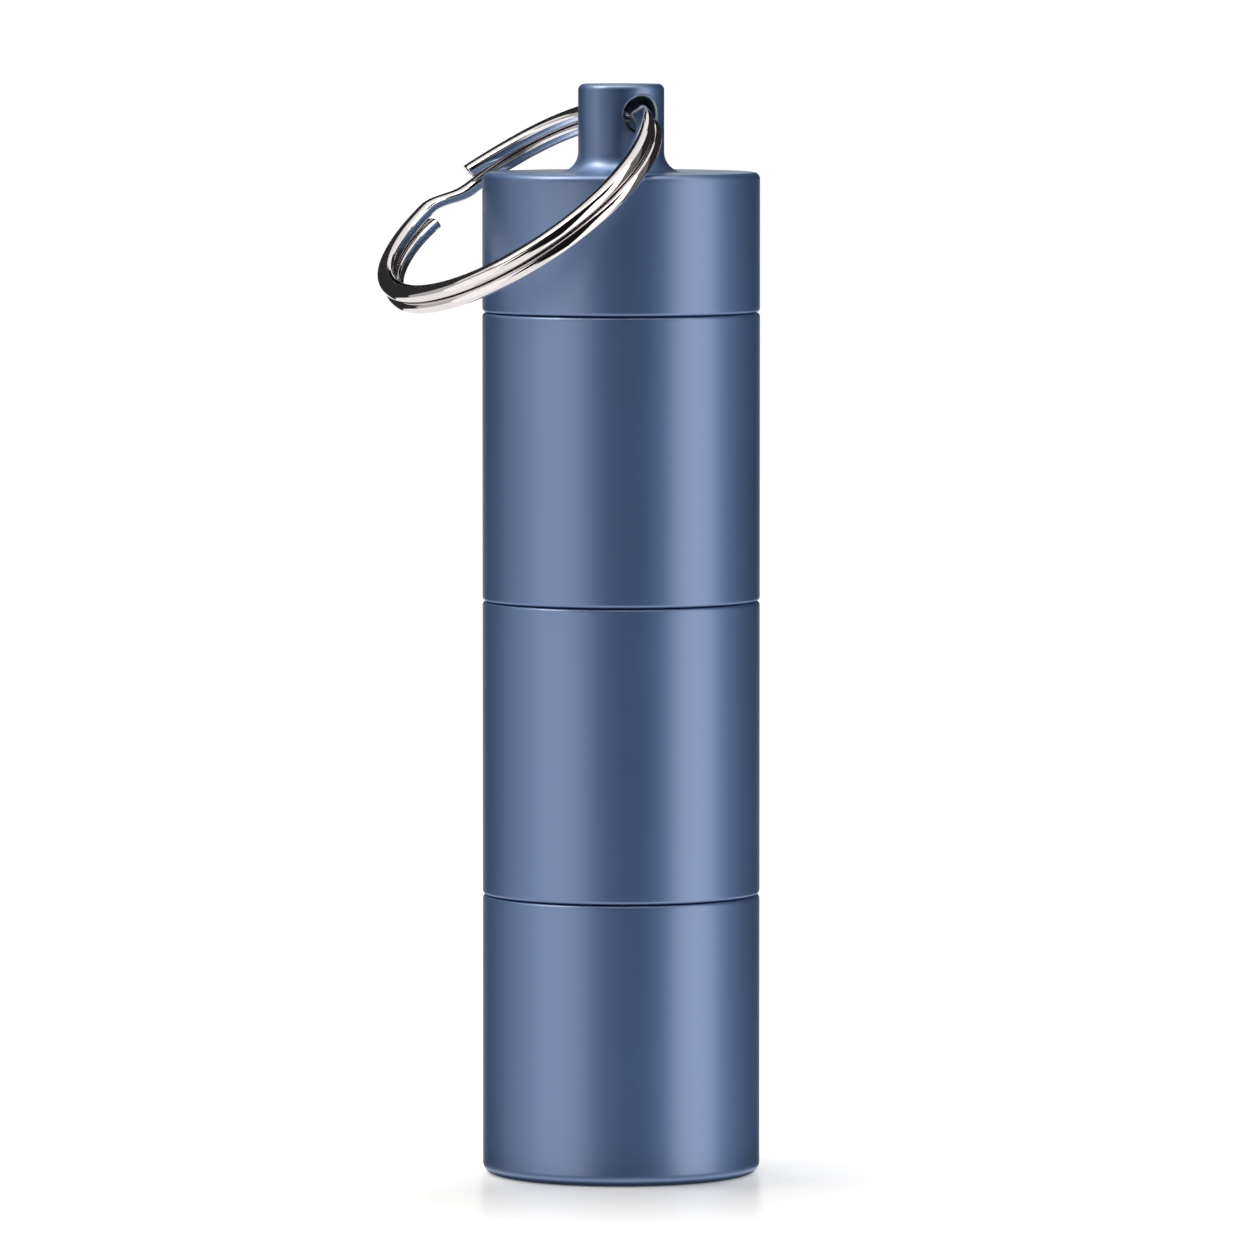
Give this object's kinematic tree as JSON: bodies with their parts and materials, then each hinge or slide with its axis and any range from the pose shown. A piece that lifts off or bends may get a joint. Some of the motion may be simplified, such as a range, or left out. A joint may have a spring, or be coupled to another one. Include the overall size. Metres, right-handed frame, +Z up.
{
  "type": "stackable pill box",
  "caption": "Round aluminium pill box: stacked chambers screw together with rubber seals, under a screw lid whose drilled knob carries a split key ring.",
  "frame": {"origin": "centre of the flat base that the box stands on", "axes": "+Z up along the stack's axis; +X to the right and -Y towards the viewer, with the key ring hanging to the left"},
  "size_m": [0.0275, 0.0255, 0.0786],
  "materials": {
    "anodised_aluminium": "satin blue anodised",
    "seal_rubber": "matt black rubber",
    "ring_steel": "polished nickel plate"
  },
  "bodies": {
    "bottom_chamber": {"bottom_chamber": "anodised_aluminium"},
    "bottom_seal": {"bottom_seal": "seal_rubber"},
    "middle_chamber": {"middle_chamber": "anodised_aluminium"},
    "middle_seal": {"middle_seal": "seal_rubber"},
    "top_chamber": {"top_chamber": "anodised_aluminium"},
    "top_seal": {"top_seal": "seal_rubber"},
    "lid": {"lid": "anodised_aluminium"},
    "key_ring": {"key_ring": "ring_steel"}
  },
  "joints": [
    {"name": "middle_chamber_unscrew", "type": "hinge", "parent": "bottom_chamber", "child": "bottom_seal", "pos_m": [0, 0, 0.0208], "axis": [0, 0, 1], "range_deg": [0, 1440]},
    {"name": "middle_chamber_lift", "type": "slide", "parent": "bottom_seal", "child": "middle_chamber", "axis": [0, 0, 1], "range_m": [0, 0.006]},
    {"name": "top_chamber_unscrew", "type": "hinge", "parent": "middle_chamber", "child": "middle_seal", "pos_m": [0, 0, 0.042], "axis": [0, 0, 1], "range_deg": [0, 1440]},
    {"name": "top_chamber_lift", "type": "slide", "parent": "middle_seal", "child": "top_chamber", "axis": [0, 0, 1], "range_m": [0, 0.006]},
    {"name": "lid_unscrew", "type": "hinge", "parent": "top_chamber", "child": "top_seal", "pos_m": [0, 0, 0.0628], "axis": [0, 0, 1], "range_deg": [0, 1440]},
    {"name": "lid_lift", "type": "slide", "parent": "top_seal", "child": "lid", "axis": [0, 0, 1], "range_m": [0, 0.006]},
    {"name": "key_ring_swing", "type": "hinge", "parent": "lid", "child": "key_ring", "pos_m": [0, 0, 0.07645], "axis": [-0.5075, 0.8616, 0], "range_deg": [0, 250]}
  ],
  "couplings": [
    {"joint": "middle_chamber_unscrew", "follows": "middle_chamber_lift", "rad_per_m": 4188.8},
    {"joint": "top_chamber_unscrew", "follows": "top_chamber_lift", "rad_per_m": 4188.8},
    {"joint": "lid_unscrew", "follows": "lid_lift", "rad_per_m": 4188.8}
  ]
}
